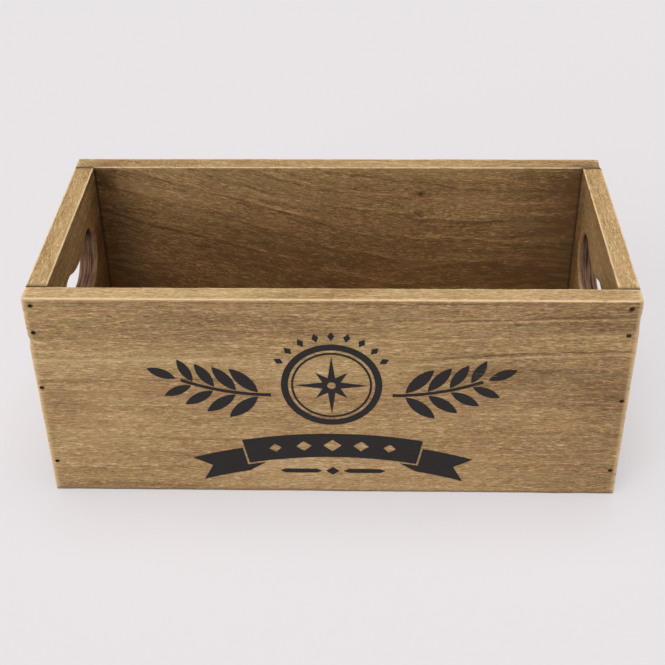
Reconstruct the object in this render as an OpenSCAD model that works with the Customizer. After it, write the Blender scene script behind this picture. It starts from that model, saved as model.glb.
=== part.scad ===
// Open wooden crate: four nailed side boards round one bottom board, with a shaped hand hole in each end.
// The origin is at the middle of the underside, X runs along the front, Y from front to back and Z up.

/* [Crate] */
// Outside length, along the front
crate_length = 340; // [280:5:500]
// Outside depth, from front to back
crate_depth = 165; // [160:5:300]
// Outside height
crate_height = 141; // [125:1:240]

/* [Boards] */
// Thickness of the front and back boards
side_thickness = 12; // [9:0.5:16]
// Thickness of the two end boards
end_thickness = 12; // [10:0.5:18]
// Thickness of the bottom board
bottom_thickness = 9; // [6:0.5:14]
// Radius of the sanded edges of every board
arris = 0.9; // [0.5:0.1:1.5]
// Gap left where an end board or the bottom board meets the front or back board
seam = 0.2; // [0.1:0.05:0.5]

/* [Hand holes] */
// Length of a hand hole, end to end
hole_length = 94; // [84:1:100]
// Height of a hand hole at its two round ends
hole_height = 38.5; // [34:0.5:42]
// How far the grip swells down into the hole
grip_swell = 6; // [3:0.5:8]
// Distance from the rim down to the top of the left hand hole
left_hole_drop = 25; // [20:1:32]
// Distance from the rim down to the top of the right hand hole
right_hole_drop = 29; // [20:1:32]
// How far the left hand hole sits behind the middle of its board
left_hole_shift = 2.5; // [-6:0.5:8]
// How far the right hand hole sits behind the middle of its board
right_hole_shift = 5; // [-6:0.5:8]

/* [Nails] */
// Length of a nail, head and point included
nail_length = 30; // [26:1:32]
// Diameter of a nail's shank
nail_shank = 1.6; // [1.2:0.1:2]
// Diameter of a nail's head
nail_head = 2.3; // [2.1:0.1:2.8]
// Thickness of a nail's head
nail_head_thickness = 0.8; // [0.5:0.1:1.2]
// Length of a nail's point
nail_point = 2.4; // [1.5:0.1:4]
// Depth that a nail's head is punched below the surface
nail_sink = 1.3; // [0.8:0.1:2]
// Free space between a nail and the wood round it
nail_fit = 0.02; // [0.01:0.01:0.1]
// Distance from the rim to the highest nail in a row
nail_top_drop = 5; // [4:0.5:12]
// Height of the lowest nail in the left row
left_nail_rise = 23; // [16:1:40]
// Height of the lowest nail in the right row
right_nail_rise = 19; // [16:1:40]
// Distance between the nails under the bottom board
bottom_nail_pitch = 40; // [25:1:44]

/* [Printed emblem] */
// Height of the middle of the emblem's ring above the underside
emblem_rise = 82; // [78:1:86]
// Outside radius of the ring
ring_radius = 29; // [24:1:31]
// Width of the ring's bold line
ring_line = 4; // [2:0.5:5]
// Length of each sprig, along its stem
sprig_length = 56; // [50:1:60]
// Length of a sprig's largest leaf
leaf_length = 23; // [14:0.5:24]
// Width of a sprig's largest leaf
leaf_width = 7.6; // [5:0.2:7.8]
// Length of the ribbon's front band
ribbon_length = 104; // [90:2:116]
// Height of the ribbon's front band
ribbon_height = 18; // [12:0.5:19]
// Thickness of the ink
ink_thickness = 0.2; // [0.1:0.05:0.4]

/* [Hidden] */

left = -1;
right = 1;
round_sides = 48;
cut_overrun = 1;
// How far one arc reaches into the arc that it runs into, so that they cross and don't only touch
arc_bite = 0.05;

wood_colour = "#ab8a5f";
end_wood_colour = "#a58256";
bottom_wood_colour = "#9a784e";
nail_colour = "#3a2a1e";
ink_colour = "#2e2a2b";

inside_depth = crate_depth - 2 * side_thickness;
end_board_height = crate_height - bottom_thickness;
front_face = -crate_depth / 2;
// Radius of the arch that the ribbon follows
ribbon_arch = 2.5 * ribbon_length;

// Place of each nail in a row, as a share of the way from the highest to the lowest
left_nail_shares = [0, 0.16, 0.505, 1];
right_nail_shares = [0, 0.154, 0.547, 1];
// How far each nail was driven outwards of the end board's middle, as a share of the board's thickness
left_nail_drift = [0.1, 0.18, 0.27, 0.19];
right_nail_drift = [0, 0.03, 0.18, 0.16];

// Solid board of a size, centred on the origin, with every edge sanded round
module rounded_rectangle(size, radius) {
    square([size.x - 2 * radius, size.y], center = true);
    square([size.x, size.y - 2 * radius], center = true);
    for (x = [-1, 1], y = [-1, 1])
        translate([x * (size.x / 2 - radius), y * (size.y / 2 - radius)])
            circle(r = radius, $fn = round_sides);
}

module board(size) {
    intersection() {
        linear_extrude(size.z, center = true)
            rounded_rectangle([size.x, size.y], arris);
        rotate([90, 0, 0])
            linear_extrude(size.y, center = true)
                rounded_rectangle([size.x, size.z], arris);
        rotate([90, 0, 90])
            linear_extrude(size.x, center = true)
                rounded_rectangle([size.y, size.z], arris);
    }
}

// One nail pointing along +Z, with the top of its head at the origin and its shape grown by a clearance
module nail(grow = 0) {
    cylinder(d = nail_head + 2 * grow, h = nail_head_thickness + grow, $fn = round_sides);
    cylinder(d = nail_shank + 2 * grow, h = nail_length - nail_point, $fn = round_sides);
    translate([0, 0, nail_length - nail_point])
        cylinder(d1 = nail_shank + 2 * grow, d2 = nail_shank / 4 + 2 * grow, h = nail_point + grow,
                 $fn = round_sides);
}

// The space that a nail takes in the wood, with the punched well over its head
module nail_space() {
    nail(nail_fit);
    translate([0, 0, -nail_sink - cut_overrun])
        cylinder(d = nail_head + 2 * nail_fit, h = nail_sink + cut_overrun + nail_head_thickness,
                 $fn = round_sides);
}

// Places its children at each nail that holds the front board to one end board
module at_front_nails(end) {
    shares = end == left ? left_nail_shares : right_nail_shares;
    drift = end == left ? left_nail_drift : right_nail_drift;
    rise = end == left ? left_nail_rise : right_nail_rise;
    span = crate_height - nail_top_drop - rise;
    for (i = [0 : len(shares) - 1])
        translate([
            end * (crate_length / 2 - end_thickness * (0.5 - drift[i])),
            front_face + nail_sink,
            crate_height - nail_top_drop - span * shares[i]
        ])
            rotate([-90, 0, 0])
                children();
}

// Places its children at each nail that holds the bottom board to one end board
module at_bottom_nails(end) {
    for (row = [-1 : 1])
        translate([end * (crate_length - end_thickness) / 2, row * bottom_nail_pitch, nail_sink])
            children();
}

// Outline of a hand hole in the plane of an end board, with its top at zero and the middle of the grip at X zero.
// Two round ends run smoothly into one wide arc that swells down from the grip between them.
module hand_hole_outline() {
    end_radius = hole_height / 2;
    end_place = (hole_length - hole_height) / 2;
    swell_foot = end_radius - grip_swell;
    swell_radius = (pow(end_place, 2) + pow(swell_foot, 2) - pow(end_radius, 2)) / (2 * grip_swell);
    swell_rise = swell_foot + swell_radius;
    // Share of the way from the middle of a round end to the middle of the wide arc at which the two arcs meet
    meet = end_radius / (end_radius + swell_radius);
    meet_point = [end_place * (1 - meet), swell_rise * meet];
    translate([0, -end_radius])
        difference() {
            union() {
                for (x = [-1, 1])
                    translate([x * end_place, 0])
                        circle(r = end_radius, $fn = 2 * round_sides);
                polygon([
                    [-end_place, -end_radius], [end_place, -end_radius], [end_place, 0],
                    meet_point, [-meet_point.x, meet_point.y], [-end_place, 0]
                ]);
            }
            translate([0, swell_rise])
                circle(r = swell_radius + arc_bite, $fn = 4 * round_sides);
        }
}

module front_board() {
    color(wood_colour)
        difference() {
            translate([0, front_face + side_thickness / 2, crate_height / 2])
                board([crate_length, side_thickness, crate_height]);
            for (end = [left, right])
                at_front_nails(end)
                    nail_space();
        }
}

module back_board() {
    mirror([0, 1, 0])
        front_board();
}

module end_board(end) {
    hole_drop = end == left ? left_hole_drop : right_hole_drop;
    hole_shift = end == left ? left_hole_shift : right_hole_shift;
    color(end_wood_colour)
        difference() {
            translate([
                end * (crate_length - end_thickness) / 2,
                0,
                bottom_thickness + end_board_height / 2
            ])
                board([end_thickness, inside_depth - 2 * seam, end_board_height]);
            translate([end * (crate_length - end_thickness) / 2, hole_shift, crate_height - hole_drop])
                rotate([90, 0, 90])
                    linear_extrude(end_thickness + 2 * cut_overrun, center = true)
                        hand_hole_outline();
            at_bottom_nails(end)
                nail_space();
            for (side = [0, 1])
                mirror([0, side, 0])
                    at_front_nails(end)
                        nail_space();
        }
}

module bottom_board() {
    color(bottom_wood_colour)
        difference() {
            translate([0, 0, bottom_thickness / 2])
                board([crate_length, inside_depth - 2 * seam, bottom_thickness]);
            for (end = [left, right])
                at_bottom_nails(end)
                    nail_space();
        }
}

module front_nails(end) {
    color(nail_colour)
        at_front_nails(end)
            nail();
}

module back_nails(end) {
    mirror([0, 1, 0])
        front_nails(end);
}

module bottom_nails(end) {
    color(nail_colour)
        at_bottom_nails(end)
            nail();
}

// Pointed leaf along +X, from a point at the origin, as the overlap of two circles
module leaf(length, width) {
    radius = (pow(length, 2) + pow(width, 2)) / (4 * width);
    translate([length / 2, 0])
        intersection() {
            translate([0, radius - width / 2])
                circle(r = radius, $fn = 4 * round_sides);
            translate([0, width / 2 - radius])
                circle(r = radius, $fn = 4 * round_sides);
        }
}

// Star whose long and short points take turns round it
module compass_star(long_point, short_point, waist) {
    polygon([
        for (i = [0 : 15])
            let (reach = i % 2 == 1 ? waist : i % 4 == 0 ? long_point : short_point)
                reach * [cos(i * 22.5), sin(i * 22.5)]
    ]);
}

module ring(radius, line) {
    difference() {
        circle(r = radius, $fn = 4 * round_sides);
        circle(r = radius - line, $fn = 4 * round_sides);
    }
}

// Bar along X with a point at each end
module pointed_bar(length, height) {
    polygon([
        [-length / 2, 0], [height - length / 2, -height / 2], [length / 2 - height, -height / 2],
        [length / 2, 0], [length / 2 - height, height / 2], [height - length / 2, height / 2]
    ]);
}

module lozenge(length, height) {
    polygon([[-length / 2, 0], [0, -height / 2], [length / 2, 0], [0, height / 2]]);
}

// Leafy sprig whose stem starts at the origin and bends up in one arc as it runs along +X
module sprig() {
    bend = 24;
    pairs = 4;
    stem_line = 2;
    leaf_spread = 44;
    leaf_gap = 0.6;
    stem_radius = sprig_length / (bend * PI / 180);
    stem_end = bend * 0.94;
    leaf_step = bend / (pairs + 0.35);
    translate([0, stem_radius])
        intersection() {
            ring(stem_radius + stem_line / 2, stem_line);
            polygon([
                [0, 0],
                [0, -2 * stem_radius],
                2 * stem_radius * [sin(stem_end), -cos(stem_end)]
            ]);
        }
    for (i = [0 : pairs - 1])
        for (side = [-1, 1])
            let (turn = leaf_step * (i + 0.45), size = 1 - 0.08 * i)
                translate([stem_radius * sin(turn), stem_radius * (1 - cos(turn))])
                    rotate(turn + side * leaf_spread)
                        translate([(stem_line / 2 + leaf_gap) / sin(leaf_spread), 0])
                            leaf(leaf_length * size, leaf_width * size);
    translate([stem_radius * sin(bend), stem_radius * (1 - cos(bend))])
        rotate(bend)
            leaf(leaf_length * 0.75, leaf_width * 0.8);
}

// Point on the ribbon, at a distance along its arch from its middle and at a height above its middle line
function on_ribbon(along, height) =
    let (turn = along / ribbon_arch * 180 / PI)
        [(ribbon_arch + height) * sin(turn), (ribbon_arch + height) * cos(turn) - ribbon_arch];

// Stretch of ribbon from one place along its arch to another, with a notch cut into its far end
module ribbon_stretch(start, stop, height, notch = 0) {
    steps = 24;
    polygon([
        for (i = [0 : steps])
            on_ribbon(start + (stop - start) * i / steps, height / 2),
        if (notch > 0)
            on_ribbon(stop - notch, 0),
        for (i = [steps : -1 : 0])
            on_ribbon(start + (stop - start) * i / steps, -height / 2)
    ]);
}

// Arched ribbon: a front band pierced by a row of lozenges, and a notched tail folded back behind each end
module ribbon() {
    tail_length = 30;
    tail_drop = 6;
    tail_notch = 9;
    fold_length = 13;
    fold_gap = 1.3;
    lozenge_pitch = 17;
    half = ribbon_length / 2;
    difference() {
        ribbon_stretch(-half, half, ribbon_height);
        for (i = [-2 : 2])
            let (size = 1 - 0.15 * abs(i))
                translate(on_ribbon(i * lozenge_pitch, 0))
                    rotate(-i * lozenge_pitch / ribbon_arch * 180 / PI)
                        lozenge(ribbon_height * 0.62 * size, ribbon_height * 0.5 * size);
    }
    for (side = [0, 1])
        mirror([side, 0])
            difference() {
                union() {
                    translate([0, -tail_drop])
                        ribbon_stretch(half, half + tail_length, ribbon_height, tail_notch);
                    polygon([
                        on_ribbon(half - fold_length, -ribbon_height / 2),
                        on_ribbon(half + 3, -ribbon_height / 2),
                        on_ribbon(half + 3, 2 - ribbon_height / 2) - [0, tail_drop],
                        on_ribbon(half, -ribbon_height / 2) - [0, tail_drop]
                    ]);
                }
                ribbon_stretch(-half - fold_gap, half + fold_gap, ribbon_height + 2 * fold_gap);
            }
}

// Lozenges in an arch over the ring
module crown() {
    for (turn = [-60 : 15 : 60])
        rotate(turn)
            translate([0, ring_radius + 5.5])
                lozenge(4, 6);
}

module emblem_outline() {
    fine_ring_gap = 1.8;
    fine_ring_line = 1.2;
    star_gap = 1.4;
    star_reach = ring_radius - ring_line - fine_ring_gap - fine_ring_line - star_gap;
    sprig_start = ring_radius + 6;
    sprig_drop = 7;
    ribbon_drop = ring_radius + 7 + ribbon_height / 2;
    rule_drop = ribbon_drop + ribbon_height / 2 + 11;
    ring(ring_radius, ring_line);
    ring(ring_radius - ring_line - fine_ring_gap, fine_ring_line);
    difference() {
        compass_star(star_reach, 0.62 * star_reach, 0.27 * star_reach);
        circle(r = 0.12 * star_reach, $fn = round_sides);
    }
    crown();
    for (side = [0, 1])
        mirror([side, 0])
            translate([sprig_start, -sprig_drop])
                sprig();
    translate([0, -ribbon_drop])
        ribbon();
    translate([0, -rule_drop]) {
        lozenge(8, 6);
        for (side = [-1, 1])
            translate([side * 19, 0])
                pointed_bar(25, 3);
    }
}

module front_emblem() {
    color(ink_colour)
        translate([0, front_face, emblem_rise])
            rotate([90, 0, 0])
                linear_extrude(ink_thickness)
                    emblem_outline();
}

front_board();
back_board();
end_board(left);  // left_end_board
end_board(right);  // right_end_board
bottom_board();
front_nails(left);  // front_left_nails
front_nails(right);  // front_right_nails
back_nails(left);  // back_left_nails
back_nails(right);  // back_right_nails
bottom_nails(left);  // bottom_left_nails
bottom_nails(right);  // bottom_right_nails
front_emblem();
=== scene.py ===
"""Open wooden crate of worn, stained boards with nail wells and a printed emblem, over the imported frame.

Lengths are in millimetres and turn to metres only where a mesh is made.
X runs along the front, Y from front to back and Z up.
"""

import logging
import math
from dataclasses import dataclass, field
from enum import Enum

import bpy
import numpy as np
from mathutils import Matrix, Vector


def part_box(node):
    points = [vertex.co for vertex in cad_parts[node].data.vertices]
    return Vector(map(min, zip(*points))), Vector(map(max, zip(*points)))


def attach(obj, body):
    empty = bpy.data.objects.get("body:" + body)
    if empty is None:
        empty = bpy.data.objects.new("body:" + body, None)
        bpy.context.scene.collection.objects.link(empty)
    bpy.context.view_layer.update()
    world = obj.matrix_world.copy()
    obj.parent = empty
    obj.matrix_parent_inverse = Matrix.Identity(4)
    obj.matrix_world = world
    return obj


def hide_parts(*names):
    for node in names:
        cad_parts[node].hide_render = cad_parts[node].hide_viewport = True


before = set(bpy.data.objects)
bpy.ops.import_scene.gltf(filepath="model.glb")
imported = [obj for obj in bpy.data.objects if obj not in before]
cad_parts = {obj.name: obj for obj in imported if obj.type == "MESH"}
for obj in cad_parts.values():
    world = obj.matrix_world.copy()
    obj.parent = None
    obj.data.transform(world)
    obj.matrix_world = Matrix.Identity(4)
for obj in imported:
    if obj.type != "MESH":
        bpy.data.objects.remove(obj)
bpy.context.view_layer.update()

LOG = logging.getLogger("crate")
MM = 0.001
PHOTO_WIDTH_PX = 665
SMOOTH_ANGLE = math.radians(38)

SMOOTH = {"interpolation_type": "SMOOTHSTEP"}
COLOURS = {"data_type": "RGBA", "output": 2}

Socket = bpy.types.NodeSocket


def linear(code: str, alpha: float = 1.0) -> tuple[float, float, float, float]:
    """Turns an sRGB hex colour into Blender's linear values.

    Args:
        code: Colour such as "#b0905f".
        alpha: Opacity that goes with it.

    Returns:
        Linear red, green, blue and the opacity.
    """
    parts = [int(code[i : i + 2], 16) / 255 for i in (1, 3, 5)]
    red, green, blue = (c / 12.92 if c <= 0.04045 else ((c + 0.055) / 1.055) ** 2.4 for c in parts)
    return red, green, blue, alpha


class Shading:
    """One new material, whose nodes are added one by one."""

    def __init__(self, name: str) -> None:
        """Makes an empty material.

        Args:
            name: Name of the material.
        """
        self.material = bpy.data.materials.new(name)
        self.material.use_nodes = True
        self.tree = self.material.node_tree
        self.tree.nodes.clear()
        self.shown = self.tree.nodes.new("ShaderNodeOutputMaterial")

    def add(
        self,
        kind: str,
        *values: object,
        named: dict | None = None,
        stops: tuple[tuple[float, str], ...] = (),
        output: int | str = 0,
        **settings: object,
    ) -> Socket:
        """Adds one shader node with its settings, values and links.

        Args:
            kind: Blender's name for the node, and its operation after a full stop if it has one.
            values: Value or socket for each input, in order.
            named: Value or socket for each input that is given by its name or number.
            stops: Places and colours of a ramp, for a node that holds one.
            output: Name or number of the output that is handed out.
            settings: Properties of the node itself.

        Returns:
            That output of the new node.
        """
        name, _, operation = kind.partition(".")
        node = self.tree.nodes.new("ShaderNode" + name)
        if operation:
            node.operation = operation
        for setting, value in settings.items():
            setattr(node, setting, value)
        if stops:
            ramp = node.color_ramp.elements
            while len(ramp) < len(stops):
                ramp.new(0.5)
            for element, (place, colour) in zip(ramp, stops):
                element.position = place
                element.color = linear(colour)
        for key, value in (dict(enumerate(values)) | (named or {})).items():
            if isinstance(value, Socket):
                self.tree.links.new(value, node.inputs[key])
            else:
                node.inputs[key].default_value = value
        return node.outputs[output]

    def pattern(
        self, place: Socket, size: tuple[float, ...], detail: float, rough: float, output: int | str = 0
    ) -> Socket:
        """Noise with swellings of a real size: the place divided by that size is the place in the noise.

        Args:
            place: Place in the units of the size.
            size: Rough size of a swelling along X, Y and Z.
            detail: Number of finer layers.
            rough: Weight of each finer layer.
            output: Fac for one value, Color for three.

        Returns:
            Noise about 0.5.
        """
        stretched = self.add("VectorMath.DIVIDE", place, size)
        look = {"Vector": stretched, "Scale": 1.0, "Detail": detail, "Roughness": rough}
        return self.add("TexNoise", named=look, output=output)

    def show(self, surface: Socket) -> bpy.types.Material:
        """Links a surface to the material's output and hands the material out."""
        self.tree.links.new(surface, self.shown.inputs["Surface"])
        return self.material


def smooth_noise(points: np.ndarray, wavelength: tuple[float, float, float], seed: int) -> np.ndarray:
    """Smooth noise, about -1 to 1: the scaled sum of 28 sine waves of random direction, length and phase.

    Args:
        points: Places in mm, one row each.
        wavelength: Rough size of a swelling along X, Y and Z in mm.
        seed: Picks the waves.

    Returns:
        One value for each point.
    """
    waves = 28
    rng = np.random.default_rng(seed)
    direction = rng.normal(size=(waves, 3))
    direction /= np.linalg.norm(direction, axis=1, keepdims=True)
    stretch = 2 * math.pi * rng.uniform(0.6, 1.7, (waves, 1)) / np.asarray(wavelength)
    phase = rng.uniform(0, 2 * math.pi, waves)
    total = np.sin(points @ (direction * stretch).T + phase).sum(axis=1)
    return np.clip(total / math.sqrt(2 * waves), -1, 1)


def stations(half: float, radius: float, step: float, arc_steps: int = 5) -> np.ndarray:
    """Places along one direction of a board: even steps on the flat, and even angles round each arris.

    Args:
        half: Half of the board's size.
        radius: Radius of the arris.
        step: Rough spacing on the flat.
        arc_steps: Steps from the flat to the middle of an arris.

    Returns:
        Rising places from -half to half.
    """
    angle = np.linspace(0, math.pi / 4, arc_steps + 1)[1:]
    arc = half - radius + radius * np.tan(angle)
    count = max(3, round(2 * (half - radius) / step))
    return np.concatenate([-arc[::-1], np.linspace(radius - half, half - radius, count + 1), arc])


def grid_quads(rows: int, columns: int, closed: bool = False) -> np.ndarray:
    """Corner numbers of the quads of a grid whose points are numbered row by row.

    Args:
        rows: Points down the grid.
        columns: Points across it.
        closed: Whether the grid joins up with itself both ways.

    Returns:
        Four corner numbers for each quad.
    """
    down = np.arange(rows if closed else rows - 1)[:, None]
    across = np.arange(columns if closed else columns - 1)[None, :]
    below, beside = (down + 1) % rows, (across + 1) % columns
    turns = ((down, across), (below, across), (below, beside), (down, beside))
    corners = [np.broadcast_to(row * columns + column, (down.size, across.size)) for row, column in turns]
    return np.stack(corners, axis=-1).reshape(-1, 4)


def weld(points: np.ndarray, normals: np.ndarray, quads: np.ndarray) -> tuple[np.ndarray, np.ndarray, list]:
    """Joins points that share a place, drops faces that lose their area and turns the surface outwards.

    Args:
        points: Places in mm.
        normals: Outward direction at each point.
        quads: Corner numbers of each face.

    Returns:
        The points, their normals, and the faces as lists of three or four corner numbers.
    """
    _, first, number = np.unique(np.round(points, 4), axis=0, return_index=True, return_inverse=True)
    points, normals = points[first], normals[first]
    quads = number.reshape(-1)[quads]
    a, b, c, d = (points[quads[:, i]] for i in range(4))
    volume = np.einsum("ij,ij->i", a, np.cross(b, c) + np.cross(c, d)).sum()
    if volume < 0:
        quads = quads[:, ::-1]
    keep = quads != np.roll(quads, -1, axis=1)
    corners = keep.sum(axis=1)
    faces = quads[corners == 4].tolist()
    faces += quads[corners == 3][keep[corners == 3]].reshape(-1, 3).tolist()
    return points, normals, faces


def mesh_object(name: str, points: np.ndarray, faces: list) -> bpy.types.Object:
    """Makes a Blender object at the origin from points in mm.

    Args:
        name: Name of the object and its mesh.
        points: Places in mm.
        faces: Corner numbers of each face.

    Returns:
        The linked object.
    """
    mesh = bpy.data.meshes.new(name)
    mesh.from_pydata((points * MM).tolist(), [], faces)
    mesh.update()
    made = bpy.data.objects.new(name, mesh)
    bpy.context.scene.collection.objects.link(made)
    return made


def soft_step(low: float, high: float, value: np.ndarray) -> np.ndarray:
    """Rises smoothly from 0 at low to 1 at high."""
    t = np.clip((value - low) / (high - low), 0, 1)
    return t * t * (3 - 2 * t)


class Grain(Enum):
    """Direction in which a board's fibres run."""

    ALONG_X = "x"
    ALONG_Y = "y"


@dataclass(frozen=True)
class Mark:
    """One soft patch that is lighter or darker than the wood round it; some patches are real changes of tone,
    and others are painted shade and light.
    """

    place: tuple[float, float, float]
    reach: tuple[float, float, float]
    strength: float
    redness: float = 0.0

    def cover(self, points: np.ndarray) -> np.ndarray:
        """Share at each point: a bell curve of the distance, measured in the patch's own reach.

        Args:
            points: Places in mm.

        Returns:
            One value for each point, 1 at the patch's middle.
        """
        away = (points - np.asarray(self.place)) / np.asarray(self.reach)
        return np.exp(-(away**2).sum(axis=1))


def patches(y: float, depth: float, rows: list[tuple[float, ...]]) -> list[Mark]:
    """Lists soft patches that lie on one face of a side board.

    Args:
        y: Place of the face.
        depth: Reach of the patches into the wood.
        rows: Place along X and Z, reach along X and Z, strength and perhaps redness of each patch.

    Returns:
        The patches.
    """
    return [Mark((x, y, z), (wide, depth, high), *look) for x, z, wide, high, *look in rows]


@dataclass(frozen=True)
class Streak:
    """One long thin line in the grain of a side board, lighter or darker than the wood round it."""

    start: tuple[float, float]
    end: tuple[float, float]
    strength: float
    width: float = 0.6
    bow: float = 0.0


@dataclass(frozen=True)
class Spot:
    """One crisp dark ellipse on the outer face of a side board, such as the torn mouth of a nail well."""

    place: tuple[float, float]
    reach: tuple[float, float] = (1.4, 1.15)


@dataclass(frozen=True)
class Chip:
    """One dent or flake knocked out of a board's arris."""

    place: tuple[float, float, float]
    reach: tuple[float, float, float]
    depth: float
    ragged_size: float = 3.5
    ragged_share: float = 0.45

    def sink(self, points: np.ndarray, seed: int) -> np.ndarray:
        """Depth at each point: a ragged bell curve of the distance.

        Args:
            points: Places in mm.
            seed: Picks the raggedness.

        Returns:
            Depth in mm at each point.
        """
        away = (points - np.asarray(self.place)) / np.asarray(self.reach)
        ragged = 1 + self.ragged_share * smooth_noise(points, (self.ragged_size,) * 3, seed)
        return self.depth * soft_step(0.0, 1.0, 1.35 * np.exp(-(away**2).sum(axis=1)) * ragged - 0.12)


@dataclass(frozen=True)
class StainedWood:
    """Pale open-grained softwood, sawn, sanded, stained brown and waxed.

    The eye sees short fibres in tan, olive and red-brown, thin dark year lines, and light worn arrises.
    """

    name: str
    grain: Grain = Grain.ALONG_X
    shift: tuple[float, float, float] = (0.0, 0.0, 0.0)
    slope_degrees: float = 0.0
    dark: str = "#6b4f31"
    deep: str = "#94734b"
    body: str = "#b3915f"
    pale: str = "#cfae7e"
    bright: str = "#e6cba0"
    worn: str = "#f0cf9e"
    olive: str = "#a08a58"
    russet: str = "#ad7f57"
    pore: str = "#4d3722"
    # Dark colour of nail stain, dark joints and knot hearts, also painted as shade on the bottom arrises and
    # in the hand holes
    stain_and_shade_dark: str = "#24150c"
    well: str = "#54301a"
    burn_dark: str = "#33201a"
    burn_pale: str = "#8d6a58"
    rubbed_from: float = 0.28
    gloss: float = 0.4
    year_spacing: float = 11.0
    year_strength: float = 0.16
    pith: tuple[float, float] = (46.0, -30.0)
    taper: float = 0.035
    bend: float = 5.0
    ripple: float = 1.2
    tone: float = 0.0
    lean: float = 0.0
    lean_until_x: float = 0.0
    knots: tuple[tuple[float, float, float], ...] = ()
    streaks: tuple[Streak, ...] = ()
    streak_fade: float = 12.0
    lean_corner: float = 30.0
    spots_from_y: tuple[float, float] = (77.0, 79.0)
    knot_length: float = 0.62
    knot_spread: float = 0.08
    knot_pull: float = 0.75

    def streak_level(self, shading: Shading, along: Socket, up: Socket) -> Socket | float:
        """Sum of the board's streaks: a bell curve of the height above each one's line, faded at both ends.

        A streak's line runs straight from its start to its end, and its bow lifts the middle as a parabola.

        Args:
            shading: Node tree that takes the sums.
            along: Place along X in mm.
            up: Place along Z in mm, with the wander of the fibres.

        Returns:
            Lightness that the streaks add.
        """
        add = shading.add
        total = 0.0
        for streak in self.streaks:
            (x0, z0), (x1, z1) = streak.start, streak.end
            fade = min(self.streak_fade, (x1 - x0) / 3)
            share = add("Math.DIVIDE", add("Math.SUBTRACT", along, x0), x1 - x0)
            line = add("Math.MULTIPLY_ADD", share, z1 - z0, z0)
            if streak.bow:
                hump = add("Math.MULTIPLY", share, add("Math.SUBTRACT", 1.0, share))
                line = add("Math.MULTIPLY_ADD", hump, 4 * streak.bow, line)
            away = add("Math.DIVIDE", add("Math.SUBTRACT", up, line), streak.width)
            bell = add("Math.EXPONENT", add("Math.MULTIPLY", add("Math.MULTIPLY", away, away), -1.0))
            begun = add("MapRange", along, x0 - fade, x0, **SMOOTH)
            lasting = add("MapRange", along, x1 + fade, x1, **SMOOTH)
            ends = add("Math.MULTIPLY", begun, lasting)
            total = add("Math.MULTIPLY_ADD", add("Math.MULTIPLY", bell, ends), streak.strength, total)
        return total

    def spot_cover(self, shading: Shading, spots: list[Spot], place: list[Socket]) -> Socket | float:
        """Share of the dark spots at a place: 1 where the squared distance in a spot's own reach is under 1.

        Args:
            shading: Node tree that takes the sums.
            spots: The spots on the board's outer face.
            place: Place along X, Y and Z in mm.

        Returns:
            Share from 0 to 1, faded out below the face that the spots lie on.
        """
        add = shading.add
        total = 0.0
        for spot in spots:
            away = [
                add("Math.DIVIDE", add("Math.SUBTRACT", place[axis], middle), reach)
                for axis, middle, reach in zip((0, 2), spot.place, spot.reach)
            ]
            square = add("Math.ADD", add("Math.POWER", away[0], 2.0), add("Math.POWER", away[1], 2.0))
            total = add("Math.MAXIMUM", total, add("MapRange", square, 1.5, 0.75, **SMOOTH))
        outer = add("MapRange", add("Math.ABSOLUTE", place[1]), *self.spots_from_y, **SMOOTH)
        return add("Math.MULTIPLY", total, outer)

    def lean_lift(self, shading: Shading, along: Socket) -> Socket:
        """How far the fibres are lifted where they run down to the right, out of the board's own line.

        The lift rises in a straight line up to lean_until_x and levels off there. It is half the slope times
        the distance from that place less its length, rounded at the corner.

        Args:
            shading: Node tree that takes the sums.
            along: Place along X in mm.

        Returns:
            Lift in mm.
        """
        add = shading.add
        away = add("Math.SUBTRACT", along, self.lean_until_x)
        length = add("Math.SQRT", add("Math.MULTIPLY_ADD", away, away, self.lean_corner**2))
        return add("Math.MULTIPLY", add("Math.SUBTRACT", away, length), self.lean / 2)

    def wander(self, shading: Shading, in_mm: Socket) -> tuple[Socket, Socket]:
        """Lays the fibres along the board and lets them wander by a few mm over the length of a hand.

        Small waves on top catch the light as short curved strokes.

        Args:
            shading: Node tree that takes the sums.
            in_mm: Place in mm.

        Returns:
            Place in mm with X along the fibres, and how far they have drifted upwards.
        """
        add, pattern = shading.add, shading.pattern
        half = (-0.5, -0.5, -0.5)
        turn = math.pi / 2 if self.grain is Grain.ALONG_Y else 0.0
        along = add("Mapping", in_mm, self.shift, (0.0, math.radians(self.slope_degrees), turn))
        drift = add("VectorMath.ADD", pattern(along, (95, 38, 38), 2.0, 0.5, "Color"), half)
        drift = add("VectorMath.MULTIPLY", drift, (0.0, 2 * self.bend, 2 * self.bend))
        fibres = add("VectorMath.ADD", along, drift)
        ripple = add("VectorMath.ADD", pattern(fibres, (11, 3.6, 3.6), 1.0, 0.5, "Color"), half)
        fibres = add("VectorMath.MULTIPLY_ADD", ripple, (0.0, self.ripple, self.ripple), fibres)
        return fibres, add("SeparateXYZ", drift, output=2)

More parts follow.
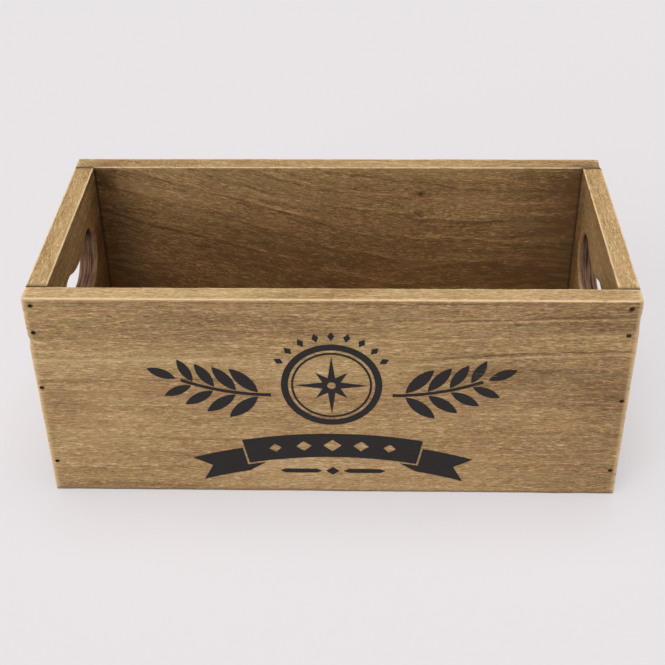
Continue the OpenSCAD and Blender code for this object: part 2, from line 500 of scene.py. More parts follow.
    def round_knots(
        self, shading: Shading, place: list[Socket], lift: Socket
    ) -> tuple[Socket, Socket | float]:
        """Bends the fibres round each knot and finds its dark heart, both as bell curves of the distance.

        Args:
            shading: Node tree that takes the sums.
            place: Place along X, Y and Z in mm.
            lift: How far the fibres are lifted without the knots, in mm.

        Returns:
            Lift in mm, and the share of dark heart.
        """
        add = shading.add
        heart = 0.0
        for knot_x, knot_z, radius in self.knots:
            away_x = add("Math.MULTIPLY", add("Math.SUBTRACT", place[0], knot_x), self.knot_length)
            away_z = add("Math.SUBTRACT", place[2], knot_z)
            square = add("Math.ADD", add("Math.POWER", away_x, 2.0), add("Math.POWER", away_z, 2.0))
            pull = add("Math.EXPONENT", add("Math.MULTIPLY", square, -self.knot_spread / radius**2))
            drawn = add("Math.MULTIPLY", away_z, add("Math.MULTIPLY", pull, self.knot_pull))
            lift = add("Math.SUBTRACT", lift, drawn)
            core = add("Math.EXPONENT", add("Math.MULTIPLY", square, -1.0 / radius**2))
            heart = add("Math.MAXIMUM", heart, core)
        return lift, heart

    def year_lines(self, shading: Shading, fibres: Socket, broken: Socket) -> tuple[Socket, Socket]:
        """Year rings round a pith behind the board, which widen along it and so draw lines and long arches.

        Args:
            shading: Node tree that takes the sums.
            fibres: Place in mm, moved by the wander of the fibres.
            broken: Noise that breaks the lines up.

        Returns:
            Share of dark late wood and of pale early wood.
        """
        add = shading.add
        apart = add("SeparateXYZ", fibres).node.outputs
        ring_y = add("Math.ADD", apart[1], self.pith[0])
        ring_z = add("Math.ADD", apart[2], self.pith[1])
        ring = add("VectorMath.LENGTH", add("CombineXYZ", 0.0, ring_y, ring_z), output="Value")
        ring = add("Math.MULTIPLY_ADD", apart[0], self.taper, ring)
        year = add("Math.DIVIDE", ring, self.year_spacing)
        part = add("Math.FRACT", year)
        darkening = add("MapRange", part, 0.72, 0.93, **SMOOTH)
        late = add("Math.MULTIPLY", darkening, add("MapRange", part, 0.99, 0.94, **SMOOTH))
        early = add("MapRange", part, 0.17, 0.02, **SMOOTH)
        number = {"W": add("Math.FLOOR", year)}
        vigour = add("TexWhiteNoise", named=number, noise_dimensions="1D", output="Value")
        vigour = add("MapRange", vigour, 0.2, 1.0, **SMOOTH)
        vigour = add("Math.MULTIPLY", vigour, add("MapRange", broken, 0.3, 0.6, **SMOOTH))
        return add("Math.MULTIPLY", late, vigour), add("Math.MULTIPLY", early, vigour)

    def material(self, spots: list[Spot]) -> bpy.types.Material:
        """Builds the node material.

        Args:
            spots: Dark spots on the board's outer face.

        Returns:
            The material, which reads Object coordinates and the mesh's own attributes.
        """
        shading = Shading(self.name)
        add, pattern = shading.add, shading.pattern
        in_mm = add("VectorMath.SCALE", add("TexCoord", output="Object"), named={"Scale": 1 / MM})
        in_board = list(add("SeparateXYZ", in_mm).node.outputs)
        fibres, drift = self.wander(shading, in_mm)
        lift, knot_heart = self.round_knots(shading, in_board, self.lean_lift(shading, in_board[0]))
        fibres = add("VectorMath.ADD", fibres, add("CombineXYZ", 0.0, 0.0, lift))

        broken = pattern(fibres, (60, 6, 6), 2.0, 0.6)
        late, early = self.year_lines(shading, fibres, broken)
        fine = pattern(fibres, (8.0, 0.45, 0.45), 3.0, 0.6)
        medium = pattern(fibres, (30, 2.0, 2.0), 4.0, 0.66)
        dark_fleck = add("MapRange", pattern(fibres, (3.2, 0.6, 0.6), 2.0, 0.5), 0.60, 0.72, **SMOOTH)
        moved = add("VectorMath.ADD", fibres, (31.0, 17.0, 43.0))
        pale_fleck = add("MapRange", pattern(moved, (5.5, 0.6, 0.6), 1.0, 0.5), 0.56, 0.66, **SMOOTH)
        attribute = {
            name: add("Attribute", attribute_name=name, output="Fac")
            for name in ("wear", "stain_and_shade", "burn", "tone", "redness", "end_grain")
        }

        # Lightness is a plain level plus each noise about its middle, then the lines, patches and flecks
        level = 0.46 + self.tone
        for swelling, share in (
            (pattern(fibres, (2.2, 0.45, 0.45), 3.0, 0.7), 1.35),
            (fine, 1.1),
            (medium, 0.28),
            (pattern(fibres, (170, 7.5, 7.5), 3.0, 0.6), 0.45),
            (pattern(fibres, (80, 26, 26), 3.0, 0.55), 0.4),
        ):
            level = add("Math.MULTIPLY_ADD", add("Math.SUBTRACT", swelling, 0.5), share, level)
        level = add("Math.MULTIPLY_ADD", late, -self.year_strength * 2, level)
        level = add("Math.MULTIPLY_ADD", early, self.year_strength * 2.2, level)
        # The tone attribute adds the patches: real tone, and painted shade and light on the crate's faces
        level = add("Math.ADD", level, attribute["tone"])
        level = add("Math.MULTIPLY_ADD", pale_fleck, 0.3, level)
        risen = add("Math.ADD", in_board[2], drift)
        streaks = self.streak_level(shading, in_board[0], risen)
        shown = add("Math.MULTIPLY_ADD", add("MapRange", broken, 0.3, 0.55, **SMOOTH), 0.6, 0.4)
        level = add("Math.MULTIPLY_ADD", streaks, shown, level)
        level = add("Math.MULTIPLY_ADD", attribute["end_grain"], -0.2, level)
        places = (0.02, 0.28, 0.48, 0.74, 1.0)
        stops = tuple(zip(places, (self.dark, self.deep, self.body, self.pale, self.bright)))
        colour = add("ValToRGB", level, stops=stops)
        hue = add("Math.SUBTRACT", pattern(moved, (34, 4.5, 4.5), 2.0, 0.5), attribute["redness"])
        rubbed = pattern(moved, (9, 2.6, 2.6), 3.0, 0.6)
        rubbed = add("MapRange", rubbed, self.rubbed_from, self.rubbed_from + 0.28, **SMOOTH)
        wear = add("Math.MULTIPLY", attribute["wear"], rubbed)

        # The cutter's scorch marks follow the hand hole's outline and change mostly across the board
        across = (0.95, 24, 24) if self.grain is Grain.ALONG_Y else (24, 24, 0.95)
        scorch = add("MapRange", pattern(in_mm, across, 3.0, 0.62), 0.36, 0.64, **SMOOTH)
        scorched = add("Mix", scorch, named={6: linear(self.burn_dark), 7: linear(self.burn_pale)}, **COLOURS)

        # Each layer covers a share of what lies under it
        layers = [
            (add("MapRange", hue, 0.5, 0.72, 0.0, 0.34, **SMOOTH), linear(self.olive)),
            (add("MapRange", hue, 0.5, 0.28, 0.0, 0.34, **SMOOTH), linear(self.russet)),
            (add("Math.MULTIPLY", dark_fleck, 0.3), linear(self.pore)),
            (add("Math.MULTIPLY", wear, 0.9), linear(self.worn)),
            (attribute["burn"], scorched),
            (add("Math.MULTIPLY", knot_heart, 0.85), linear(self.stain_and_shade_dark)),
            # Stain round the nails and in the joints, with painted shade on the bottom arrises and under the
            # hand holes' tops
            (attribute["stain_and_shade"], linear(self.stain_and_shade_dark)),
        ]
        if spots:
            cover = add("Math.MULTIPLY", self.spot_cover(shading, spots, in_board), 0.95)
            layers.append((cover, linear(self.well)))
        for share, tint in layers:
            colour = add("Mix", share, named={6: colour, 7: tint}, **COLOURS)

        relief = add("Math.MULTIPLY_ADD", medium, 0.6, add("Math.MULTIPLY", fine, 0.8))
        relief = add("Math.MULTIPLY_ADD", dark_fleck, -0.5, relief)
        relief = add("Math.MULTIPLY_ADD", late, 0.25, relief)
        rough = add("Math.MULTIPLY_ADD", medium, 0.22, 0.52)
        rough = add("Math.MULTIPLY_ADD", attribute["burn"], 0.3, rough)
        bump = add("Bump", named={"Strength": 0.55, "Distance": 0.16 * MM, "Height": relief})
        look = {"Base Color": colour, "Roughness": rough, "Normal": bump}
        shine = {"IOR": 1.47, "Specular IOR Level": self.gloss}
        return shading.show(add("BsdfPrincipled", named=look | shine))


@dataclass(frozen=True)
class BlackInk:
    """Near-black screen-printing ink on bare wood.

    The eye sees a flat, faintly violet black with the grain under it, and a few rubbed spots on the right.
    """

    name: str = "black_printing_ink"
    ink: str = "#221d1e"
    faded: str = "#332c2b"
    wood: str = "#9b7d50"
    worn_from_x: float = 40.0
    worn_over: float = 45.0

    def material(self) -> bpy.types.Material:
        """Builds the node material.

        Returns:
            The material.
        """
        shading = Shading(self.name)
        add = shading.add
        place = add("TexCoord", output="Object")
        fibre = shading.pattern(place, (9 * MM, 0.9 * MM, 0.9 * MM), 3.0, 0.6)
        patch = shading.pattern(place, (13 * MM, 13 * MM, 13 * MM), 2.0, 0.6)
        across = add("SeparateXYZ", place)
        worn_to_x = self.worn_from_x + self.worn_over
        side = add("MapRange", across, self.worn_from_x * MM, worn_to_x * MM, **SMOOTH)
        rubbed = add("Math.MULTIPLY", add("MapRange", patch, 0.60, 0.70, **SMOOTH), side)
        bare = add("MapRange", fibre, 0.5, 0.66, 0.0, 0.6, **SMOOTH)
        layers = (
            (add("MapRange", fibre, 0.35, 0.75, 0.0, 0.5, **SMOOTH), self.faded),
            (add("Math.MULTIPLY", rubbed, bare), self.wood),
        )
        colour = linear(self.ink)
        for share, tint in layers:
            colour = add("Mix", share, named={6: colour, 7: linear(tint)}, **COLOURS)
        bump = add("Bump", named={"Strength": 0.3, "Distance": 0.1 * MM, "Height": fibre})
        look = {"Base Color": colour, "Roughness": 0.62, "Normal": bump, "Specular IOR Level": 0.3}
        return shading.show(add("BsdfPrincipled", named=look))


@dataclass(frozen=True)
class DarkSteel:
    """Drawn steel brad, darkened by stain and a little rust.

    The eye sees a dull brown dot at the bottom of a dark well.
    """

    name: str = "darkened_steel_brad"
    steel: str = "#7c5f45"
    rust: str = "#6b3c20"

    def material(self) -> bpy.types.Material:
        """Builds the node material.

        Returns:
            The material.
        """
        shading = Shading(self.name)
        add = shading.add
        spots = shading.pattern(add("TexCoord", output="Object"), (0.8 * MM, 0.8 * MM, 0.8 * MM), 3.0, 0.5)
        colour = add("ValToRGB", spots, stops=((0.42, self.rust), (0.62, self.steel)))
        rough = add("Math.MULTIPLY_ADD", spots, -0.4, 0.75)
        look = {"Base Color": colour, "Metallic": 0.5, "Roughness": rough}
        return shading.show(add("BsdfPrincipled", named=look))


@dataclass
class NailRow:
    """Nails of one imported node: where each one goes in, and the space that it takes in the wood."""

    node: str
    inward: tuple[float, float, float]
    head_radius: float = 1.17
    head_depth: float = 2.15
    shank_radius: float = 0.82
    point_length: float = 2.4
    sides: int = 28
    overrun: float = 0.6
    apart: float = 3.0

    def places(self) -> tuple[np.ndarray, float]:
        """Finds each nail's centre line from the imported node, whose nails lie well apart.

        Returns:
            One point for each nail at the board's face, and the nails' length from there.
        """
        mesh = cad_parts[self.node].data
        corners = np.empty(len(mesh.vertices) * 3)
        mesh.vertices.foreach_get("co", corners)
        corners = corners.reshape(-1, 3) / MM
        axis = int(np.argmax(np.abs(self.inward)))
        side = 2 if axis == 1 else 1
        corners = corners[np.argsort(corners[:, side])]
        breaks = np.flatnonzero(np.diff(corners[:, side]) > self.apart) + 1
        centres = np.array([(c.min(axis=0) + c.max(axis=0)) / 2 for c in np.split(corners, breaks)])
        sign = self.inward[axis]
        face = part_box("front_board")[0][1] / MM if axis == 1 else 0.0
        face = -face if axis == 1 and sign < 0 else face
        centres[:, axis] = face
        reach = corners[:, axis].max() if sign > 0 else corners[:, axis].min()
        return centres, abs(reach - face)

    def cutter(self) -> bpy.types.Object:
        """Makes the space of all the row's nails: a stepped profile turned round each centre line.

        Returns:
            A closed mesh of one spindle for each nail.
        """
        centres, length = self.places()
        shoulder = length - self.point_length
        depth = np.array([-self.overrun, -self.overrun, self.head_depth, self.head_depth, shoulder, length])
        radius = np.array([0, self.head_radius, self.head_radius, self.shank_radius, self.shank_radius, 0])
        turn = np.linspace(0, 2 * math.pi, self.sides, endpoint=False)
        inward = np.asarray(self.inward)
        across = np.roll(inward, 1)
        beside = np.cross(inward, across)
        ring = np.cos(turn)[:, None] * across + np.sin(turn)[:, None] * beside
        spindle = depth[:, None, None] * inward + radius[:, None, None] * ring
        quads = grid_quads(len(depth), self.sides + 1)
        quads = (quads // (self.sides + 1)) * self.sides + (quads % (self.sides + 1)) % self.sides
        parts, faces = [], []
        for number, centre in enumerate(centres):
            points = spindle.reshape(-1, 3) + centre
            points, _, part = weld(points, points, quads)
            faces += [[corner + sum(map(len, parts)) for corner in face] for face in part]
            parts.append(points)
        return mesh_object(self.node + "_space", np.concatenate(parts), faces)


@dataclass
class Board:
    """One sawn and sanded board with worn arrises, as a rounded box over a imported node."""

    name: str
    node: str
    slot: str
    finish: StainedWood
    nails: list[NailRow] = field(default_factory=list)
    chips: list[Chip] = field(default_factory=list)
    marks: list[Mark] = field(default_factory=list)
    bruises: list[Spot] = field(default_factory=list)
    joint_side: int = 0
    seed: int = 1
    arris: float = 0.95
    step_along: float = 2.2
    step_across: float = 1.6
    hollow: float = 0.06
    wear_width: float = 1.45
    end_wear_width: float = 1.45
    rim_lift: float = 0.11
    end_board_reach: float = 12.0
    nail_halo: float = 0.35
    # Painted shade along the bottom arris: its strength, and the band above the board's bottom in mm over
    # which it fades
    bottom_arris_shade: float = 0.7
    bottom_shade_band: tuple[float, float] = (0.6, 1.9)
    joint_strength: float = 0.9
    bottom_nail_halo: float = 0.92
    halo_radius: float = 1.35
    halo_step: float = 0.15
    halo_depth: tuple[float, float] = (3.0, 4.5)
    planed_size: tuple[float, float, float] = (120, 60, 55)
    rub_size: float = 26.0
    rub_share: float = 0.28
    nick_size: float = 7.0
    nick_share: float = 0.16

    def __post_init__(self) -> None:
        """Takes the board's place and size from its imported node."""
        low, high = (np.array(corner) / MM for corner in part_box(self.node))
        self.centre = (low + high) / 2
        self.half = (high - low) / 2

    def worn_radius(self, points: np.ndarray) -> np.ndarray:
        """Arris radius at each point: the sanded radius, more where hands and knocks have rubbed it."""
        rub = smooth_noise(points, (self.rub_size,) * 3, self.seed + 11)
        nick = smooth_noise(points, (self.nick_size,) * 3, self.seed + 12)
        return self.arris * (1 + self.rub_share * rub + self.nick_share * nick)

    def shell(self) -> tuple[np.ndarray, np.ndarray, list]:
        """Works out the board as a rounded box.

        A point on the plain box is drawn back to the inner box, which is smaller by the arris radius, and put
        one radius away from it again, so flats stay flat and edges and corners turn round.

        Returns:
            Points about the board's middle, their normals and the faces.
        """
        steps = [self.step_across] * 3
        steps[int(np.argmax(self.half))] = self.step_along
        lines = [stations(h, self.arris, s) for h, s in zip(self.half, steps)]
        sides, faces, total = [], [], 0
        for axis in range(3):
            u, v = (axis + 1) % 3, (axis + 2) % 3
            for sign in (-1, 1):
                a, b = np.meshgrid(lines[u], lines[v], indexing="ij")
                side = np.empty(a.shape + (3,))
                side[..., u], side[..., v], side[..., axis] = a, b, sign * self.half[axis]
                quads = grid_quads(*a.shape) + total
                faces.append(quads if sign > 0 else quads[:, ::-1])
                sides.append(side.reshape(-1, 3))
                total += a.size
        plain = np.concatenate(sides)
        radius = self.worn_radius(plain)[:, None]
        inner = np.clip(plain, radius - self.half, self.half - radius)
        away = plain - inner
        normals = away / np.linalg.norm(away, axis=1, keepdims=True)
        return weld(inner + radius * normals, normals, np.concatenate(faces))

    def sink(self, points: np.ndarray) -> np.ndarray:
        """How far each point lies below the plain board: a planed hollow, and the chips."""
        planed = 0.5 + 0.5 * smooth_noise(points, self.planed_size, self.seed + 21)
        depth = self.hollow * planed
        for number, chip in enumerate(self.chips):
            depth = depth + chip.sink(points + self.centre, self.seed + 31 + number)
        return depth

    def edge_wear(self, points: np.ndarray) -> np.ndarray:
        """Wear at each point: 0 on the flats, 1 on the arrises, from the second least distance to a side."""
        width = np.array([self.end_wear_width, self.wear_width, self.wear_width])
        near = np.sort((np.abs(points) - (self.half - width)) / width, axis=1)
        return soft_step(0.18, 0.72, near[:, 1])

    def burn(self, points: np.ndarray) -> np.ndarray:
        """How scorched each point is, which a plain board is nowhere."""
        return np.zeros(len(points))

    def stain_and_shade(self, points: np.ndarray) -> np.ndarray:
        """How dark the wood is round each nail, a bell curve of the distance from the nail's centre line, with
        painted shade along the bottom arris and the dark joints.
        """
        dark = np.zeros(len(points))
        for row in self.nails:
            centres, _ = row.places()
            flat = 1 - np.abs(row.inward)
            for number, centre in enumerate(centres):
                offset = points + self.centre - centre
                away = np.linalg.norm(offset * flat, axis=1)
                near_face = 1 - soft_step(*self.halo_depth, offset @ np.asarray(row.inward))
                spread = self.halo_radius + self.halo_step * (number % 3)
                strength = self.nail_halo if abs(row.inward[1]) else self.bottom_nail_halo
                dark = np.maximum(dark, strength * near_face * np.exp(-((away / spread) ** 4)))
        # Painted shade: the bottom arris darkened where the board stands on the floor
        ground = self.bottom_arris_shade * (1 - soft_step(*self.bottom_shade_band, points[:, 2] + self.half[2]))
        return np.maximum(np.maximum(dark, ground), self.joint_dirt(points))

    def spots(self) -> list[Spot]:
        """Torn mouths of the nail wells in the board's outer face, and the board's own spots."""
        mouths = []
        for row in self.nails:
            if abs(row.inward[1]) and self.joint_side:
                centres, _ = row.places()
                mouths += [Spot((float(x), float(z))) for x, _, z in centres]
        return mouths + self.bruises

    def joint_dirt(self, points: np.ndarray) -> np.ndarray:
        """How dark the wood is on the arris where an end board meets this one."""
        if not self.joint_side:
            return np.zeros(len(points))
        along = soft_step(-0.8, 0.6, np.abs(points[:, 0]) - (self.half[0] - self.end_board_reach))
        side = soft_step(-1.0, -0.3, self.joint_side * points[:, 1] - self.half[1])
        return self.joint_strength * along * side

    def tone(self, points: np.ndarray) -> np.ndarray:
        """Sum of the soft patches, some of them painted shade and light, and the paler top edge that hands
        have rubbed.
        """
        total = self.rim_lift * soft_step(-0.8, -0.2, points[:, 2] - self.half[2])
        for mark in self.marks:
            total = total + mark.strength * mark.cover(points + self.centre)
        return total

    def redness(self, points: np.ndarray) -> np.ndarray:
        """How far the soft patches turn the wood towards red-brown, or towards olive where negative."""
        total = np.zeros(len(points))
        for mark in self.marks:
            total = total + mark.redness * mark.cover(points + self.centre)
        return total

    def end_grain(self, points: np.ndarray) -> np.ndarray:
        """Whether each point lies on a sawn end of the board."""
        axis = 1 if self.finish.grain is Grain.ALONG_Y else 0
        return soft_step(-0.9, -0.25, np.abs(points[:, axis]) - self.half[axis])

    def build(self) -> bpy.types.Object:
        """Makes the board's mesh, cuts its nail spaces and writes its attributes.

        Returns:
            The board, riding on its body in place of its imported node.
        """
        points, normals, faces = self.shell()
        points = points - normals * self.sink(points)[:, None]
        board = mesh_object(self.name, points + self.centre, faces)
        for row in self.nails:
            self.cut(board, row.cutter())
        self.write_attributes(board.data)
        board.data.shade_smooth()
        board.data.set_sharp_from_angle(angle=SMOOTH_ANGLE)
        board.data.materials.append(self.finish.material(self.spots()))
        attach(board, "root")
        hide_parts(self.node)
        return board

    def cut(self, board: bpy.types.Object, cutter: bpy.types.Object) -> None:
        """Takes one closed mesh out of the board and deletes it.

        Args:
            board: Board that is cut.
            cutter: Mesh that is taken out of it.
        """
        modifier = board.modifiers.new("nail_spaces", "BOOLEAN")
        modifier.operation, modifier.solver, modifier.object = "DIFFERENCE", "EXACT", cutter
        graph = bpy.context.evaluated_depsgraph_get()
        done = bpy.data.meshes.new_from_object(board.evaluated_get(graph))
        board.modifiers.clear()
        spent = board.data
        board.data = done
        bpy.data.meshes.remove(spent)
        done.name = self.name
        bpy.data.objects.remove(cutter)

    def write_attributes(self, mesh: bpy.types.Mesh) -> None:
        """Writes wear, stain with painted shade, burn, tone with painted shade and light, redness and end
        grain at every point of the finished mesh.

        Args:
            mesh: Mesh whose points stand in the crate's frame, in metres.
        """
        points = np.empty(len(mesh.vertices) * 3)
        mesh.vertices.foreach_get("co", points)
        points = points.reshape(-1, 3) / MM - self.centre
        layers = {
            "wear": self.edge_wear(points),
            "stain_and_shade": self.stain_and_shade(points),
            "burn": self.burn(points),
            "tone": self.tone(points),
            "redness": self.redness(points),
            "end_grain": self.end_grain(points),
        }
        for name, values in layers.items():
            layer = mesh.attributes.new(name, "FLOAT", "POINT")
            layer.data.foreach_set("value", values.astype(np.float32))


@dataclass
class HandHole:
    """Outline of a hand hole, in mm from its middle.

    Two round ends are joined below by a straight line and above by a wide arc that swells down into the hole.
    """

    drop: float
    shift: float
    length: float = 94.0
    height: float = 38.5
    swell: float = 6.0

    def reach(self, angle: np.ndarray) -> np.ndarray:
        """Distance from the hole's middle to its edge.

        A ray from the middle meets the wide arc if it points between the two places where the arcs join, the
        straight line if it points down between the round ends' middles, and a round end otherwise.

        Args:
            angle: Direction of each ray, from the horizontal.

        Returns:
            Distance in mm for each ray.
        """
        end, place = self.height / 2, (self.length - self.height) / 2
        foot = end - self.swell
        wide = (place**2 + foot**2 - end**2) / (2 * self.swell)
        rise = foot + wide
        join = end / (end + wide)
        join_angle = math.atan2(rise * join, place * (1 - join))
        c, s = np.cos(angle), np.sin(angle)
        round_end = place * np.abs(c) + np.sqrt(np.maximum(end**2 - (place * s) ** 2, 0))
        arc = s * rise - np.sqrt(np.maximum((s * rise) ** 2 - rise**2 + wide**2, 0))
        line = end / np.maximum(np.abs(s), 1e-6)
        up = (s > 0) & (np.arctan2(s, np.abs(c)) > join_angle)
        down = (s < 0) & (np.abs(c) * line < place)
        return np.where(up, arc, np.where(down, line, round_end))


@dataclass
class EndBoard(Board):
    """Short board with a hand hole, as one ring-shaped surface that closes on itself both ways."""

    hole: HandHole = field(kw_only=True)
    hole_arris: float = 1.4

    def shell(self) -> tuple[np.ndarray, np.ndarray, list]:
        """Works out the board as a section carried round the hole.

        One parameter walks round the board's outline. The other runs from the hole's edge out over one face,
        round the outline, back over the other face and through the hole. On each face a point lies on the
        straight line from the hole's edge to the outline.

        Returns:
            Points about the board's middle, their normals and the faces.
        """
        half = self.half[1:] - self.arris
        middle = self.hole_middle()
        outline, outward = self.outline(half)
        angle = np.arctan2(*(outline - middle).T[::-1])
        edge = middle + self.hole.reach(angle)[:, None] * np.stack([np.cos(angle), np.sin(angle)], axis=1)
        out_of_hole = self.edge_normal(angle)
        thick = self.half[0]
        radius = self.worn_radius(np.column_stack([np.zeros(len(outline)), outline + self.arris * outward]))
        radius = np.minimum(radius, self.arris * 1.3)
        blocks = []

        def block(flat: np.ndarray, height: np.ndarray, lean: np.ndarray, rise: np.ndarray) -> None:
            """Adds one line round the board, with its place and its normal in the plane and across it."""
            place = np.column_stack([np.broadcast_to(height, len(flat)), flat])
            normal = np.column_stack([np.broadcast_to(rise, len(flat)), lean])
            blocks.append((place, normal))

        def arc(base: np.ndarray, out: np.ndarray, reach: np.ndarray, side: int, turns: np.ndarray) -> None:
            """Adds the lines of a quarter round between a face and the wall that stands square to it."""
            for turn in turns:
                lean, rise = math.sin(turn), math.cos(turn)
                place = base + reach[:, None] * lean * out
                block(place, side * (thick - reach * (1 - rise)), out * lean, side * rise)

        # Extra lines stand close beside the arrises, so that the shading doesn't bend far out on the flats
        spans = np.append(np.linspace(0, 0.965, 33), [0.985, 1.0])
        quarter = np.linspace(0, math.pi / 2, 6)
        hole_radius = np.full(len(outline), self.hole_arris)
        inset = edge + self.hole_arris * out_of_hole
        flat_lean = np.zeros_like(edge)
        for s in spans:
            block(inset + (outline - inset) * s, thick, flat_lean, 1)
        arc(outline, outward, radius, 1, quarter[1:])
        for level in (0.92, 0.82, 0.45, 0.0, -0.45, -0.82, -0.92):
            block(outline + radius[:, None] * outward, level * (thick - radius), outward, 0.0)
        arc(outline, outward, radius, -1, quarter[::-1])
        for s in spans[-2::-1]:
            block(inset + (outline - inset) * s, -thick, flat_lean, -1)
        arc(inset, -out_of_hole, hole_radius, -1, quarter[1:])
        for level in np.linspace(-1, 1, 9)[1:-1]:
            block(edge, level * (thick - self.hole_arris), -out_of_hole, 0.0)
        arc(inset, -out_of_hole, hole_radius, 1, quarter[:0:-1])
        points = np.stack([place for place, _ in blocks])
        normals = np.stack([normal for _, normal in blocks])
        quads = grid_quads(*points.shape[:2], closed=True)
        return weld(points.reshape(-1, 3), normals.reshape(-1, 3), quads)

    def hole_middle(self) -> np.ndarray:
        """Middle of the hand hole, along Y and Z from the board's middle."""
        return np.array([self.hole.shift, self.half[2] - self.hole.drop - self.hole.height / 2])

    def outline(self, half: np.ndarray) -> tuple[np.ndarray, np.ndarray]:
        """Walks round a rectangle, with a fan of directions at each corner.

        Args:
            half: Half of the rectangle's width and height.

        Returns:
            Points on the rectangle and the outward direction at each.
        """
        corners = np.array([[1, -1], [1, 1], [-1, 1], [-1, -1]]) * half
        points, outward = [], []
        for number, corner in enumerate(corners):
            after = corners[(number + 1) % 4]
            start = math.pi / 2 * (number - 1)
            fan = np.linspace(start, start + math.pi / 2, 6)
            points += [corner] * len(fan)
            outward += [(math.cos(a), math.sin(a)) for a in fan]
            count = round(float(np.linalg.norm(after - corner)) / (self.step_along * 1.2))
            run = np.linspace(0, 1, count + 1)[1:-1]
            points += list(corner + (after - corner) * run[:, None])
            outward += [(math.cos(start + math.pi / 2), math.sin(start + math.pi / 2))] * len(run)
        return np.array(points), np.array(outward)

    def edge_normal(self, angle: np.ndarray) -> np.ndarray:
        """Direction out of the hole and into the wood, square to the hole's edge at each angle."""
        small = 0.004
        before, after = (
            self.hole.reach(angle + turn)[:, None]
            * np.stack([np.cos(angle + turn), np.sin(angle + turn)], axis=1)
            for turn in (-small, small)
        )
        along = after - before
        along /= np.linalg.norm(along, axis=1, keepdims=True)
        return np.column_stack([along[:, 1], -along[:, 0]])

    def from_edge(self, points: np.ndarray) -> np.ndarray:
        """Rough distance of each point from the hole's edge, along the ray from the hole's middle."""
        away = points[:, 1:] - self.hole_middle()
        return np.linalg.norm(away, axis=1) - self.hole.reach(np.arctan2(away[:, 1], away[:, 0]))

    def edge_wear(self, points: np.ndarray) -> np.ndarray:
        """Wear of the arrises, with the hand hole's own arris."""
        outer = super().edge_wear(points)
        side = soft_step(-1.2, -0.2, np.abs(points[:, 0]) - self.half[0])
        ring = 1 - soft_step(1.4, 2.6, self.from_edge(points))
        return np.maximum(outer, 0.2 * side * ring)

    def burn(self, points: np.ndarray) -> np.ndarray:
        """Scorch of the cut wall: full inside the hole, faint towards the inside, gone at both faces."""
        inside = 1 - soft_step(0.6, 1.3, self.from_edge(points))
        depth = self.half[0] - np.abs(points[:, 0])
        inner_depth = self.half[0] + math.copysign(1.0, self.centre[0]) * points[:, 0]
        return 0.95 * inside * soft_step(0.1, 1.1, depth) * (0.15 + 0.85 * soft_step(1.5, 2.7, inner_depth))

    def stain_and_shade(self, points: np.ndarray) -> np.ndarray:
        """Stain round the nails and in the joints, painted shade along the bottom arris, and painted shade on
        the hole's wall under the top of the hand hole.
        """
        below_top = self.half[2] - self.hole.drop - points[:, 2]
        # Painted shade: the hole's wall darkened below the top of the hole, which shades it
        hole_top_shade = self.burn(points) * (1 - soft_step(9.0, 21.0, below_top))
        return np.maximum(super().stain_and_shade(points), hole_top_shade)

    def joint_dirt(self, points: np.ndarray) -> np.ndarray:
        """How dark the wood is on the arrises at the two ends that meet the long boards."""
        return self.joint_strength * soft_step(-1.0, -0.35, np.abs(points[:, 1]) - self.half[1])


